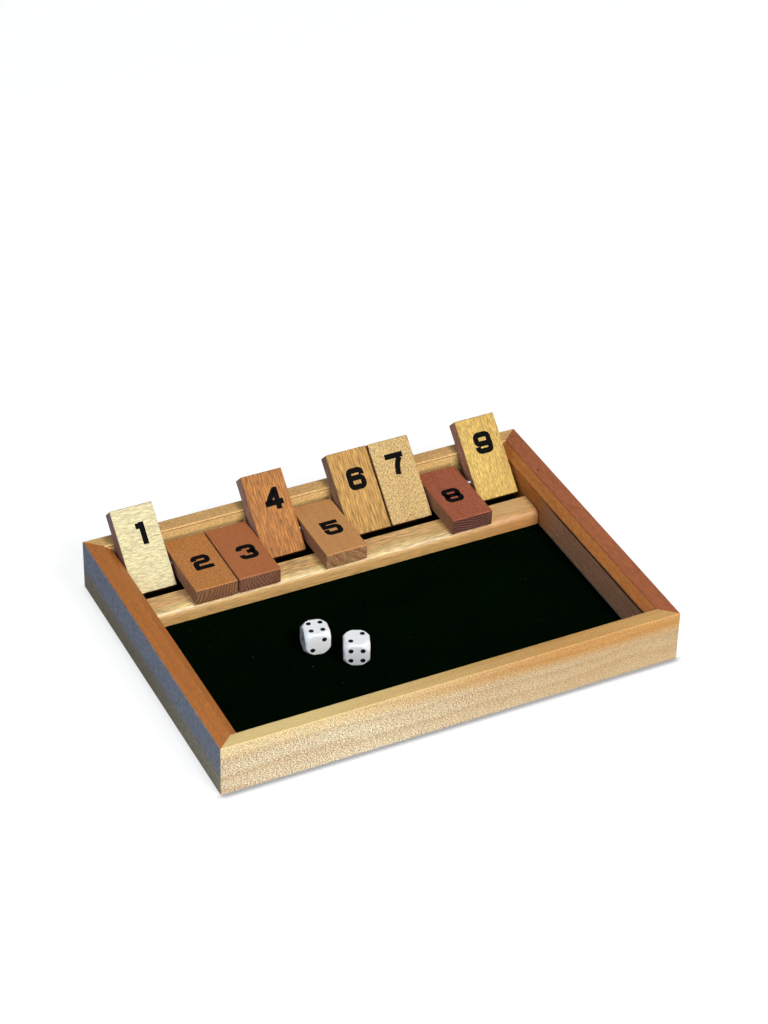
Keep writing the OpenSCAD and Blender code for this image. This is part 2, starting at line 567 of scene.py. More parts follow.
@dataclass(frozen=True)
class TileWood:
    """The two-tone finish of a tile: a pale front, and darker edges and back.

    Attributes:
        name: The material's name.
        front: The front's colours.
        back: The back's colours.
        edge: The colours of the long edges.
        end: The colours of the end grain.
        grain: The figure.
        varnish: What lies over it.
        face_step: How far below its face the front's or back's colour starts and is
            full, in millimetres.
        end_step: The same for the end grain.
        end_ring: How much more strongly the rings show on the end grain.
        end_flecks: How strongly the flecks show there.
    """

    name: str
    front: Stain
    back: Stain
    edge: Stain
    end: Stain
    grain: Grain
    varnish: Varnish = Varnish(roughness=0.65, specular=0.25, coat=0.04, coat_roughness=0.35)
    face_step: tuple[float, float] = (0.55, 0.25)
    end_step: tuple[float, float] = (0.45, 0.2)
    end_ring: float = 3.0
    end_flecks: float = 2.4

    def build(self, origin: Vector, turn: Euler, half: Vector) -> Material:
        """Makes the material.

        Args:
            origin: The middle of the tile, in metres.
            turn: The tile's turn about it.
            half: Half of the tile's width, length and thickness, in metres.

        Returns:
            The material.
        """
        maker = NodeMaker.material(self.name)
        place = maker.place(origin, turn)
        figure = wood_figure(maker, place, self.grain)
        end_grain = replace(
            self.grain, ring=self.end_ring * self.grain.ring, flecks=self.end_flecks
        )
        sawn = wood_figure(maker, place, end_grain)
        _, along, through = maker.parts(place)
        face, end = half.z / MM, half.y / MM
        on_front = through.rise(*(face - step for step in self.face_step))
        on_back = through.rise(*(step - face for step in self.face_step))
        on_end = abs(along).rise(*(end - step for step in self.end_step))
        colour = stained(maker, figure, self.edge)
        colour = maker.mix(on_end, colour, stained(maker, sawn, self.end))
        colour = maker.mix(on_back, colour, stained(maker, figure, self.back))
        colour = maker.mix(on_front, colour, stained(maker, figure, self.front))
        return self.varnish.over(maker, colour, figure)


@dataclass(frozen=True)
class Steel:
    """The bright drawn steel of the rod."""

    name: str = "drawn_steel"
    colour: Colour = tint(205, 205, 208)

    def build(self) -> Material:
        """Makes the material.

        Returns:
            The material.
        """
        maker = NodeMaker.material(self.name)
        place = maker.place(turn=Side.ALONG_X.turn())
        draw = maker.noise(place, (6.0, 0.05, 6.0), 3.0)
        return maker.finish(
            Base_Color=maker.mix((0.5 + draw).clamped(), self.colour, tint(168, 168, 172)),
            Metallic=1.0,
            Roughness=(0.24 + draw * 0.2).clamped(),
            Normal=maker.relief((0.5 + draw).clamped(), 0.01, 0.4),
        )


@dataclass(frozen=True)
class Felt:
    """The nap of the green playing felt."""

    name: str = "green_felt"
    deep: Colour = tint(0, 3, 0)
    pale: Colour = tint(5, 21, 6)
    dust_and_shade: Colour = tint(70, 84, 66)

    def build(self) -> Material:
        """Makes the material.

        Returns:
            The material.
        """
        maker = NodeMaker.material(self.name)
        place = maker.place()
        nap = maker.noise(place, (1.2, 0.9, 1.2), 5.0, 0.7)
        hairs = maker.noise(place, (0.7, 3.6, 3.0), 3.0, 0.6)
        cloud = maker.noise(place, (0.02, 0.03, 0.02), 2.0)
        specks = maker.noise(place, (0.55, 0.55, 0.55), 1.0, 0.5).rise(0.27, 0.31)
        tone = (0.38 + nap * 1.5 + hairs * 0.9 + cloud * 0.5).clamped()
        return maker.finish(
            Base_Color=maker.mix(specks * 0.5, maker.mix(tone, self.deep, self.pale), self.dust_and_shade),
            Roughness=1.0,
            Specular_IOR_Level=0.0,
            Normal=maker.relief((0.5 + nap * 0.7 + hairs * 0.5).clamped(), 0.25, 0.7),
        )


@dataclass(frozen=True)
class DiePlastic:
    """The white plastic of a die, polished but for fine tumbling marks."""

    name: str = "die_white"
    colour: Colour = tint(250, 250, 249)

    def build(self) -> Material:
        """Makes the material.

        Returns:
            The material.
        """
        maker = NodeMaker.material(self.name)
        place = maker.place()
        cloud = maker.noise(place, (0.25, 0.25, 0.25), 3.0)
        marks = maker.noise(place, (3.0, 3.0, 3.0), 4.0, 0.6)
        return maker.finish(
            Base_Color=maker.mix((0.5 + cloud).clamped(), self.colour, tint(242, 242, 244)),
            Roughness=(0.16 + marks * 0.12).clamped(),
            Coat_Weight=0.6,
            Coat_Roughness=0.06,
            Subsurface_Weight=0.05,
            Subsurface_Scale=1.5 * MM,
            Normal=maker.relief((0.5 + marks).clamped(), 0.01, 0.3),
        )


@dataclass(frozen=True)
class Ink:
    """Black print or paint, a little uneven as it lies on its ground."""

    name: str = "black_ink"
    colour: Colour = tint(5, 5, 6)
    roughness: float = 0.75
    specular: float = 0.06

    def build(self) -> Material:
        """Makes the material.

        Returns:
            The material.
        """
        maker = NodeMaker.material(self.name)
        place = maker.place()
        thin = maker.noise(place, (1.4, 1.4, 1.4), 4.0, 0.6)
        return maker.finish(
            Base_Color=maker.mix((0.2 + thin).clamped(), self.colour, tint(20, 19, 19)),
            Roughness=(self.roughness + thin * 0.2).clamped(),
            Specular_IOR_Level=self.specular,
            Normal=maker.relief((0.5 + thin).clamped(), 0.02, 0.4),
        )


# ---- Helpers for new pieces ----


def corners(box: Iterable[Iterable[float]]) -> tuple[Vector, Vector]:
    """The low and the high corner of a box."""
    return tuple(Vector(corner) for corner in box)


def only(kind: type, geometry: Iterable[Any]) -> list[Any]:
    """The vertices or the edges among what an operator made."""
    return [element for element in geometry if isinstance(element, kind)]


def direction(azimuth: float, height: float) -> Vector:
    """The way from the tray to a place round it.

    Args:
        azimuth: The place's angle from the player to the right, in degrees.
        height: How high it stands, in degrees.

    Returns:
        The way, one metre long.
    """
    around, up = math.radians(azimuth), math.radians(height)
    return Vector((math.sin(around) * math.cos(up), -math.cos(around) * math.cos(up), math.sin(up)))


def new_piece(name: str, mesh: Mesh, material: Material) -> bpy.types.Object:
    """Turns a bmesh into an object at the origin.

    Args:
        name: The piece's name.
        mesh: Its shape, in place, in metres; it is freed.
        material: Its finish.

    Returns:
        The object.
    """
    data = bpy.data.meshes.new(name)
    mesh.to_mesh(data)
    mesh.free()
    data.materials.append(material)
    piece = bpy.data.objects.new(name, data)
    bpy.context.scene.collection.objects.link(piece)
    return piece


def dress(node: str, material: Material) -> None:
    """Gives a solid of the frame its finish.

    Args:
        node: The node's name.
        material: Its finish.
    """
    solid = frame["nodes"][node]
    solid.data.materials.clear()
    solid.data.materials.append(material)
    log.info("%s: %s", node, material.name)


# ---- The tray ----


@dataclass
class Tray:
    """The rails, cheeks, ledge, panel, rod and felt.

    Attributes:
        pale, cream, amber, honey, warm, tan, orange, red, smoky, dusk, slate, seam,
        stone, dust, raw: The colours that the boards' woods took. Some stand for
        painted light: dusk and stone are painted shade and slate a painted bluish
        reflection on the left rail's outer face, seam paints shadow lines, dust paints
        shade at the foot of a cheek's upright face, and some patches of pale and
        honey paint light.
        felt_dip: How far the felt's top dips between its waves, in millimetres.
        felt_waves: How fast they follow one another to the right and to the back.
        felt_cuts: How many times the felt's sides are cut for them.
    """

    pale: Stain = Stain(tint(214, 200, 168), tint(182, 150, 112), tint(136, 104, 72))
    cream: Stain = Stain(tint(192, 166, 126), tint(174, 140, 94), tint(140, 104, 66))
    amber: Stain = Stain(tint(196, 144, 80), tint(172, 120, 60), tint(130, 86, 42))
    honey: Stain = Stain(tint(232, 204, 142), tint(208, 174, 108), tint(160, 120, 70))
    warm: Stain = Stain(tint(214, 168, 104), tint(190, 140, 78), tint(136, 92, 44))
    tan: Stain = Stain(tint(226, 182, 120), tint(198, 148, 86), tint(140, 96, 50))
    orange: Stain = Stain(tint(192, 120, 58), tint(164, 94, 40), tint(104, 56, 24))
    red: Stain = Stain(tint(176, 104, 66), tint(148, 80, 46), tint(90, 46, 26))
    smoky: Stain = Stain(tint(212, 153, 114), tint(164, 113, 82), tint(88, 58, 42))
    shade_dusk: Stain = Stain(tint(152, 132, 95), tint(101, 86, 61), tint(50, 42, 31))
    reflection_slate: Stain = Stain(tint(146, 151, 161), tint(103, 107, 124), tint(56, 56, 64))
    painted_shadow_line: Stain = Stain(tint(58, 34, 18), tint(44, 24, 12), tint(28, 16, 8))
    shade_stone: Stain = Stain(tint(190, 172, 138), tint(134, 120, 96), tint(70, 62, 52))
    dust_and_shade: Stain = Stain(tint(150, 138, 124), tint(120, 106, 92), tint(90, 76, 62))
    raw: Stain = Stain(tint(222, 196, 150), tint(190, 155, 105), tint(140, 105, 65))
    felt_dip: float = 0.12
    felt_waves: tuple[float, float] = (91.0, 113.0)
    felt_cuts: int = 60

    def cheek_patches(self, wall: float, ledge: float) -> tuple[Patch, ...]:
        """How a cheek's upright face darkens in front of the ledge, with a painted shadow line under
        its brow and painted shade at its foot by the felt.

        Args:
            wall: Where the upright face is, in millimetres; its sign tells the side.
            ledge: Where the ledge begins, in millimetres.

        Returns:
            The patches.
        """
        inward = math.copysign(1.0, -wall)
        upright = (0, wall - 0.35 * inward, wall - 0.1 * inward)
        ahead = (1, ledge + 2.0, ledge - 18.0)
        below_brow = (2, 27.6, 27.2)
        painted_shadow_line = (2, 27.3, 26.9), (2, 25.4, 25.8)
        foot = (2, 8.4, 8.0)
        return (
            Patch(self.smoky, (upright, ahead, below_brow)),
            # The dark line under the cheek's brow is a painted shadow line.
            Patch(self.painted_shadow_line, (upright, ahead, *painted_shadow_line)),
            # The greyer, darker foot of the upright face by the felt is painted shade.
            Patch(self.dust_and_shade, (upright, ahead, foot), 0.7),
        )

    def dress_boards(self) -> None:
        """Gives each wooden part of the tray its own cut of wood."""
        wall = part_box("right_cheek")[0][0] / MM
        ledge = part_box("tile_ledge")[0][1] / MM
        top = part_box("front_rail")[1][2] / MM
        front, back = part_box("front_rail")[0][1] / MM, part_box("back_rail")[0][1] / MM
        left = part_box("left_rail")[0][0] / MM
        flat = (2, top - 0.5, top - 0.1)
        outside = (0, left + 0.5, left + 0.25)
        boards = (
            BoardWood(
                "front_rail", self.pale,
                Grain(seed=1.0, heart=(10, -90), ring_gap=8.0, ring=0.5, pore=0.3, flecks=4.0,
                      fleck_length=0.9, fleck_width=0.45, waver=8.0),
                Side.ALONG_X, patches=(
                    Patch(self.cream, ((1, front + 5.0, front + 7.0),), 1.0, 0.3),
                    Patch(self.cream, ((0, -60.0, 90.0),), 0.9, 0.4),
                    Patch(self.honey, ((2, 22.0, 27.0),), 0.45, 0.5),
                    Patch(self.honey, (flat,), 1.0, 0.15),
                    Patch(self.amber, ((0, -75.0, 65.0), (2, 20.0, 26.0)), 0.9, 0.4),
                    Patch(self.warm, ((0, 20.0, 120.0), flat), 0.9, 0.1),
                ),
            ),
            BoardWood(
                "back_rail", self.tan,
                Grain(seed=5.0, heart=(20, -120), ring_gap=5.5, ring=0.25, pore=0.3, flecks=1.0),
                Side.ALONG_X, patches=(
                    # The paler inner face is painted light.
                    Patch(self.honey, ((1, back + 0.6, back + 0.3),), 0.4),
                    # The dark line just under the top's inner edge is a painted shadow line.
                    Patch(self.painted_shadow_line, ((1, back + 0.5, back + 0.2), (2, top - 1.6, top - 1.3),
                                      (2, top - 0.7, top - 1.0)), 0.6),
                ),
            ),
            BoardWood(
                "left_rail", self.orange,
                Grain(seed=9.0, heart=(-100, -40), ring=0.3, ring_gap=2.6, flecks=0.6,
                      fleck_length=4.0), Side.ALONG_Y,
                patches=(
                    # The patches on the outer face below are painted shade, with a painted bluish
                    # reflection in its upper part.
                    Patch(self.shade_dusk, (outside,), 1.0, 2.5),
                    Patch(self.shade_stone, (outside, (1, 0.0, -100.0)), 0.9, 2.5),
                    Patch(self.reflection_slate, (outside, (2, 9.0, 18.0)), 0.9, 2.5),
                ),
                knots=(Knot(-129.3, 78.2, 0.6),),
            ),
            BoardWood(
                "right_rail", self.red,
                Grain(seed=12.0, heart=(100, -40), ring=0.3, ring_gap=2.6, flecks=0.8,
                      fleck_length=4.0), Side.ALONG_Y,
                knots=(Knot(132.75, 55.3, 0.65),),
            ),
            BoardWood(
                "left_cheek", self.orange,
                Grain(seed=15.0, heart=(-90, -30), ring=0.3, flecks=0.8, fleck_length=4.0),
                Side.ALONG_Y, patches=self.cheek_patches(-wall, ledge),
            ),
            BoardWood(
                "right_cheek", self.orange,
                Grain(seed=17.0, heart=(90, -30), ring=0.35, flecks=0.8, fleck_length=4.0),
                Side.ALONG_Y, patches=self.cheek_patches(wall, ledge),
            ),
            BoardWood(
                "tile_ledge", self.tan,
                Grain(seed=21.0, heart=(-30, -70), ring_gap=4.0, ring=0.4, pore=0.2, flecks=2.6,
                      fleck_length=7.0, fleck_width=0.55),
                Side.ALONG_X, Varnish(roughness=0.5, specular=0.4, coat=0.6, coat_roughness=0.3),
                patches=(
                    Patch(self.tan, ((0, 10.0, 90.0),), 0.9, 0.25),
                    # The pale and honey bands along the front rounding are a painted highlight.
                    Patch(self.pale, ((0, 95.0, 40.0), (1, ledge + 5.6, ledge + 3.4),
                                      (2, 12.0, 13.2)), 0.85, 0.8),
                    Patch(self.honey, ((0, 90.0, 30.0), (1, ledge + 7.5, ledge + 5.0)), 0.9, 0.8),
                    Patch(self.warm, ((1, ledge + 1.4, ledge + 0.5),), 0.8, 0.3),
                    Patch(self.orange, ((0, 70.0, 115.0), (1, ledge + 5.0, ledge + 2.0)), 0.5, 0.2),
                ),
            ),
            BoardWood(
                "base_panel", self.raw, Grain(seed=25.0, heart=(0, -300), ring_gap=9.0), Side.ALONG_X
            ),
        )
        for board in boards:
            dress(board.name, board.build())

    def dress_rod(self) -> None:
        """Gives the rod its steel."""
        dress("hinge_rod", Steel().build())

    def lay_felt(self) -> None:
        """Makes the felt, with a faint unevenness, in place of its plain solid."""
        low, high = corners(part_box("playing_felt"))
        size = high - low

        def on_top(vertex: bmesh.types.BMVert) -> bool:
            """Whether a vertex lies on the felt's top."""
            return vertex.co.z > high.z - MM / 10

        mesh = bmesh.new()
        bmesh.ops.create_cube(mesh, size=1.0)
        bmesh.ops.scale(mesh, vec=size, verts=mesh.verts)
        bmesh.ops.translate(mesh, vec=(low + high) / 2, verts=mesh.verts)
        rim = [e for e in mesh.edges if all(on_top(v) for v in e.verts)]
        bmesh.ops.bevel(
            mesh, geom=rim, offset=0.4 * size.z, segments=3, profile=0.5, affect="EDGES", material=-1
        )
        long_edges = [e for e in mesh.edges if e.calc_length() > 50 * MM]
        bmesh.ops.subdivide_edges(
            mesh, edges=long_edges, cuts=self.felt_cuts, use_grid_fill=True
        )
        for vertex in filter(on_top, mesh.verts):
            along, across = (math.sin(part * fast) for part, fast in zip(vertex.co, self.felt_waves))
            vertex.co.z -= self.felt_dip * MM * (0.5 + 0.5 * along * across)
        felt = new_piece("felt_sheet", mesh, Felt().build())
        for polygon in felt.data.polygons:
            polygon.use_smooth = True
        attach(felt, "tray")
        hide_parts("playing_felt")
        log.info("felt_sheet: %.0f x %.0f mm", size.x / MM, size.y / MM)

    def build(self) -> None:
        """Dresses the whole tray."""
        self.dress_boards()
        self.dress_rod()
        self.lay_felt()


# ---- Numerals ----


class Pen:
    """Lays flat strokes of even width, one straight or bend at a time."""

    def __init__(self, width: float) -> None:
        """Starts with no stroke.

        Args:
            width: The width of every stroke, in millimetres.
        """
        self.width = width
        self.mesh = bmesh.new()
        self.nib: bmesh.types.BMEdge | None = None
        self.heading = 0.0

    def start(self, x: float, y: float, heading: float) -> Pen:
        """Sets the pen down.

        Args:
            x: The stroke's middle, to the right.
            y: The stroke's middle, upwards.
            heading: The way it goes, in degrees from the right.

        Returns:
            The pen.
        """
        self.heading = math.radians(heading)
        side = Vector((-math.sin(self.heading), math.cos(self.heading), 0)) * self.width / 2
        ends = [self.mesh.verts.new(Vector((x, y, 0)) + s) for s in (side, -side)]
        self.nib = self.mesh.edges.new(ends)
        return self

    def straight(self, length: float) -> Pen:
        """Draws a straight length.

        Args:
            length: Its length in millimetres.

        Returns:
            The pen.
        """
        step = Vector((math.cos(self.heading), math.sin(self.heading), 0)) * length
        made = bmesh.ops.extrude_edge_only(self.mesh, edges=[self.nib])["geom"]
        verts = only(bmesh.types.BMVert, made)
        bmesh.ops.translate(self.mesh, vec=step, verts=verts)
        edges = only(bmesh.types.BMEdge, made)
        self.nib = next(e for e in edges if all(v in verts for v in e.verts))
        return self

    def bend(self, radius: float, angle: float) -> Pen:
        """Draws a bend.

        Args:
            radius: The radius of the stroke's middle, in millimetres.
            angle: The angle in degrees, positive to the left.

        Returns:
            The pen.
        """
        turn = math.radians(angle)
        left = Vector((-math.sin(self.heading), math.cos(self.heading), 0))
        middle = sum((v.co for v in self.nib.verts), Vector()) / 2
        made = bmesh.ops.spin(
            self.mesh,
            geom=[self.nib, *self.nib.verts],
            cent=middle + left * math.copysign(radius, angle),
            axis=(0, 0, 1),
            angle=turn,
            steps=max(2, round(abs(angle) / 9)),
            use_duplicate=False,
        )["geom_last"]
        self.nib = only(bmesh.types.BMEdge, made)[0]
        self.heading += turn
        return self

    def cut(self, thickness: float) -> Mesh:
        """Lifts the pen and gives the strokes their thickness.

        Args:
            thickness: The ink's thickness in millimetres, upwards from 0.

        Returns:
            The closed solid strokes, in millimetres.
        """
        bmesh.ops.remove_doubles(self.mesh, verts=self.mesh.verts, dist=0.01)
        for face in self.mesh.faces:
            face.normal_update()
            if face.normal.z < 0:
                face.normal_flip()
        made = bmesh.ops.extrude_face_region(self.mesh, geom=list(self.mesh.faces))["geom"]
        verts = only(bmesh.types.BMVert, made)
        bmesh.ops.translate(self.mesh, vec=(0, 0, thickness), verts=verts)
        bmesh.ops.recalc_face_normals(self.mesh, faces=self.mesh.faces)
        return self.mesh


@dataclass
class Numeral:
    """Draws wide, square-shouldered numerals, in millimetres.

    Attributes:
        width: A numeral's width.
        height: Its height.
        stroke: The width of its strokes.
        radius: The radius of its shoulders, at the middle of the stroke.
        lip: The length of the strokes' short turned ends.
        pen: The pen that draws it.
    """

    width: float = 11.4
    height: float = 13.3
    stroke: float = 3.3
    radius: float = 2.0
    lip: float = 0.9
    pen: Pen = field(init=False)

    def draw(self, number: int) -> Pen:
        """Draws a number from 1 to 9 about the origin.

        Args:
            number: The number.

        Returns:
            The pen that drew it.
        """
        self.pen = Pen(self.stroke)
        getattr(self, f"_{number}")()
        return self.pen

    @property
    def _a(self) -> float:
        """Half of the width between the outer strokes' middles."""
        return (self.width - self.stroke) / 2

    @property
    def _b(self) -> float:
        """Half of the height between the outer strokes' middles."""
        return (self.height - self.stroke) / 2

    def _cap(self, angle: float) -> Pen:
        """Draws a shoulder, a level stroke and a shoulder, both bent by the angle."""
        r = self.radius
        return self.pen.bend(r, angle).straight(2 * (self._a - r)).bend(r, angle)

    def _1(self) -> None:
        """Draws the number 1, with a flag."""
        stem, flag, drop = 1.0, 2.0, 0.5
        self.pen.start(stem, self.height / 2, 270).straight(self.height)
        self.pen.start(stem - self.stroke / 2 - flag, self._b - drop, 0).straight(flag)

    def _2(self) -> None:
        """Draws the number 2."""
        a, b, r, middle = self._a, self._b, self.radius, 0.2
        self.pen.start(-a, b - r - self.lip, 90).straight(self.lip)
        self._cap(-90).straight(b - middle - 2 * r).bend(r, -90).straight(2 * (a - r))
        self.pen.bend(r, 90).straight(middle + b - r - self.stroke / 2)
        self.pen.start(-self.width / 2, -b, 0).straight(self.width)

    def _3(self) -> None:
        """Draws the number 3."""
        a, b, r, arm = self._a, self._b, self.radius, 2.2
        for up in (1, -1):
            self.pen.start(-a, up * (b - r - self.lip), up * 90).straight(self.lip)
            self._cap(-90 * up).straight(b - 2 * r).bend(r, -90 * up).straight(arm)

    def _4(self) -> None:
        """Draws the number 4."""
        stem, bar, half = 2.2, -2.4, self.stroke / 2
        apex, foot = Vector((1.5, self._b)), Vector((-self._a + 0.75, bar + 0.9))
        slope = foot - apex
        self.pen.start(stem, self.height / 2, 270).straight(self.height)
        self.pen.start(-self.width / 2, bar, 0).straight(stem - half + self.width / 2)
        self.pen.start(stem + half, bar, 0).straight(self.width / 2 - stem - half)
        heading = math.degrees(math.atan2(slope.y, slope.x))
        self.pen.start(*apex, heading).straight(slope.length)

    def _5(self) -> None:
        """Draws the number 5."""
        a, b, r, middle, short = self._a, self._b, self.radius, 1.0, 0.4
        half = self.stroke / 2
        self.pen.start(self.width / 2 - short, b, 180).straight(self.width - short)
        self.pen.start(-a, b - half, 270).straight(b - middle - self.stroke)
        self.pen.start(-self.width / 2, middle, 0).straight(2 * a - r + half).bend(r, -90)
        self.pen.straight(middle + b - 2 * r)
        self._cap(-90).straight(2 * self.lip)

    def _6(self, half_turn: float = 0.0) -> None:
        """Draws the number 6, or with half a turn the number 9.

        Args:
            half_turn: 0 or 180 degrees.
        """
        a, b, r, middle = self._a, self._b, self.radius, 0.6
        way = -1 if half_turn else 1
        self.pen.start(way * a, way * (b - r - self.lip), 90 + half_turn).straight(self.lip)
        self._cap(90).straight(2 * (b - r))
        self._cap(90).straight(middle + b - 2 * r).bend(r, 90)
        self.pen.straight(2 * a - r - self.stroke / 2)

    def _7(self) -> None:
        """Draws the number 7, whose stroke bends as it falls."""
        inset, overlap, heading, fall, angle, bent = 0.5, 0.3, 228, 13.0, 34, 6.6
        top = self._b - self.stroke / 2 + overlap
        self.pen.start(-self.width / 2, self._b, 0).straight(self.width)
        self.pen.start(self._a - inset, top, heading).bend(fall, angle)
        self.pen.straight(self.height - self.stroke - bent)

    def _8(self) -> None:
        """Draws the number 8."""
        a, b, r, tuck = self._a, self._b, self.radius, 0.35
        for up in (1, -1):
            self.pen.start(-a + r, 0, 180).bend(r, -90 * up).straight(b - 2 * r)
            self._cap(-90 * up).straight(b - 2 * r).bend(r, -90 * up)
        self.pen.start(-a + r - tuck, 0, 0).straight(2 * (a - r + tuck))

    def _9(self) -> None:
        """Draws the number 9."""
        self._6(180.0)


# ---- Tiles ----


@dataclass(frozen=True)
class TileLook:
    """How one tile differs from the others.

    Attributes:
        front: The front's middle colour.
        back: The back's middle colour.
        edge: The long edges' middle colour.
        grain: Its figure.
        nudge: How far its numerals are printed off the middle and up, in millimetres.
        end: How bright its end grain is beside the back.
    """

    front: Colour
    back: Colour
    edge: Colour
    grain: Grain
    nudge: tuple[float, float] = (0.0, 0.0)
    end: float = 0.5


def toned(colour: Colour, spread: float) -> Stain:
    """A stain about a middle colour.

    Args:
        colour: The middle colour.
        spread: How far the pale and deep colours lie from it.

    Returns:
        The stain.
    """
    pale = tuple(part * (1 + spread * share) for part, share in zip(colour, PALER))
    deep = tuple(part * (1 - spread * share) for part, share in zip(colour, DEEPER))
    return Stain(pale, deep, tuple(part * share for part, share in zip(colour, PORE)))


@dataclass
class TileBank:
    """The nine tiles on the rod.

    Attributes:
        numeral: The shape of the numerals.
        front_place: How far a front numeral lies from the rod, in millimetres.
        back_place: The same for a back numeral.
        ink_thickness: The ink's thickness in millimetres.
        ink_sink: How much of it lies in the wood.
        spread: How far the pale and deep colours of a tile's faces lie apart.
        edge_spread: The same for its edges.
        end_spread: The same for its end grain.
        end_glow: The light that the end grain has beyond its share of the back's.
        looks: How each tile differs from the others.
    """

    numeral: Numeral = field(default_factory=Numeral)
    front_place: float = 20.2
    back_place: float = 12.8
    ink_thickness: float = 0.06
    ink_sink: float = 0.02
    spread: float = 0.22
    edge_spread: float = 0.25
    end_spread: float = 0.8
    end_glow: float = 0.02
    looks: dict[int, TileLook] = field(default_factory=lambda: {
        1: TileLook(tint(213, 200, 155), tint(168, 100, 58), tint(150, 118, 112),
                    Grain(seed=31.0, heart=(40, 4), ring_gap=2.4, ring=0.3, cloud=0.4, flecks=1.3,
                          fleck_length=3.0, fleck_width=0.5, turn=90.0), (1.8, 0.0)),
        2: TileLook(tint(214, 160, 90), tint(188, 122, 63), tint(150, 108, 84),
                    Grain(seed=34.0, heart=(-60, -22), ring_gap=2.0, ring=0.3, flecks=0.9),
                    (0.9, 0.0), 0.35),
        3: TileLook(tint(216, 168, 100), tint(174, 104, 60), tint(150, 108, 84),
                    Grain(seed=37.0, heart=(60, -22), ring_gap=1.8, ring=0.3, flecks=0.5),
                    (1.7, -1.6), 0.32),
        4: TileLook(tint(172, 112, 54), tint(150, 90, 58), tint(180, 140, 124),
                    Grain(seed=41.0, heart=(-70, -12), ring_gap=1.8, ring=0.9, waver=2.0,
                          flecks=2.2, fleck_length=5.0, fleck_width=0.5), (2.7, -0.1)),
        5: TileLook(tint(210, 170, 110), tint(195, 138, 82), tint(160, 115, 85),
                    Grain(seed=44.0, heart=(40, -40), ring_gap=5.0, ring=0.2, flecks=0.6),
                    (1.2, -0.5), 0.48),
        6: TileLook(tint(180, 136, 72), tint(160, 95, 60), tint(158, 121, 97),
                    Grain(seed=47.0, heart=(70, -10), ring_gap=1.7, ring=1.1, waver=2.0,
                          flecks=2.2, fleck_length=7.0, fleck_width=0.5), (1.0, -1.2)),
        7: TileLook(tint(192, 160, 104), tint(165, 100, 62), tint(160, 118, 96),
                    Grain(seed=52.0, heart=(-20, -70), ring_gap=5.0, ring=0.2, cloud=0.8,
                          flecks=2.3, fleck_length=1.2, fleck_width=0.55), (0.5, 1.4)),
        8: TileLook(tint(200, 140, 85), tint(162, 88, 60), tint(150, 105, 80),
                    Grain(seed=55.0, heart=(4, -60), ring_gap=1.7, ring=0.5, pore=0.8, flecks=1.0),
                    (-1.6, -0.8), 0.26),
        9: TileLook(tint(200, 165, 88), tint(155, 92, 60), tint(186, 131, 104),
                    Grain(seed=58.0, heart=(-50, -20), ring_gap=3.8, ring=0.6, cloud=1.0,
                          waver=8.0, flecks=1.7, fleck_length=3.0, fleck_width=0.5), (0.8, 0.3)),
    })

    @property
    def hinges(self) -> list[dict[str, Any]]:
        """The tiles' hinges."""
        return [j for j in frame["joints"] if j["type"] == "hinge"]

    @property
    def fallen(self) -> dict[str, Any]:
        """The hinge of a tile that lies flat, whose box shows every tile's sizes."""
        return next(j for j in self.hinges if j["range_deg"][1] <= 0)

    def placed(self, joint: dict[str, Any]) -> Matrix:
        """Where a tile stands.

        Args:
            joint: The tile's hinge, from the frame.

        Returns:
            The tile's frame on the rod, with Y towards its head and Z out of its front.
        """
        low, high = corners(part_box(joint["child"]))
        raised = joint["range_deg"][1] > 0
        turn = math.radians(180 - joint["range_deg"][1]) if raised else math.pi
        pivot = Vector((0.5 * (low.x + high.x), *joint["pos_m"][1:]))
        return Matrix.Translation(pivot) @ Matrix.Rotation(turn, 4, "X")

    def print_numeral(
        self, number: int, name: str, face: Matrix, ink: Material
    ) -> bpy.types.Object:
        """Prints one numeral.

        Args:
            number: The number.
            name: The piece's name.
            face: The frame on the tile's face: X right, Y up and Z out, in metres.
            ink: The ink.

        Returns:
            The piece.
        """
        mesh = self.numeral.draw(number).cut(self.ink_thickness)
        bmesh.ops.translate(mesh, vec=(0, 0, -self.ink_sink), verts=mesh.verts)
        bmesh.ops.transform(mesh, matrix=face @ Matrix.Scale(MM, 4), verts=mesh.verts)
        return new_piece(name, mesh, ink)

    def build(self) -> None:
        """Dresses each tile and prints its numerals."""
        ink = Ink().build()
        low, high = corners(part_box(self.fallen["child"]))
        half = (high - low) / 2
        reach = self.fallen["pos_m"][1] - (low.y + high.y) / 2
        for joint in self.hinges:
            node = joint["child"]
            number = int(node.rsplit("_", 1)[1])
            look = self.looks[number]
            place = self.placed(joint)
            end = tuple(look.end * part + self.end_glow for part in look.back)
            wood = TileWood(
                f"wood_{node}", toned(look.front, self.spread), toned(look.back, self.spread),
                toned(look.edge, self.edge_spread), toned(end, self.end_spread), look.grain,
            )
            middle = place @ Vector((0, reach, 0))
            dress(node, wood.build(middle, place.to_euler(), half))
            aside, up = (MM * n for n in look.nudge)
            front = place @ Matrix.Translation((aside, self.front_place * MM + up, half.z))
            back = place @ Matrix.Translation((aside, self.back_place * MM - up, -half.z))
            back = back @ Matrix.Rotation(math.pi, 4, "X")
            for name, face in (("front", front), ("back", back)):
                numeral = self.print_numeral(number, f"numeral_{number}_{name}", face, ink)
                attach(numeral, node)
            log.info("%s: numerals on both faces", node)


# ---- Dice ----


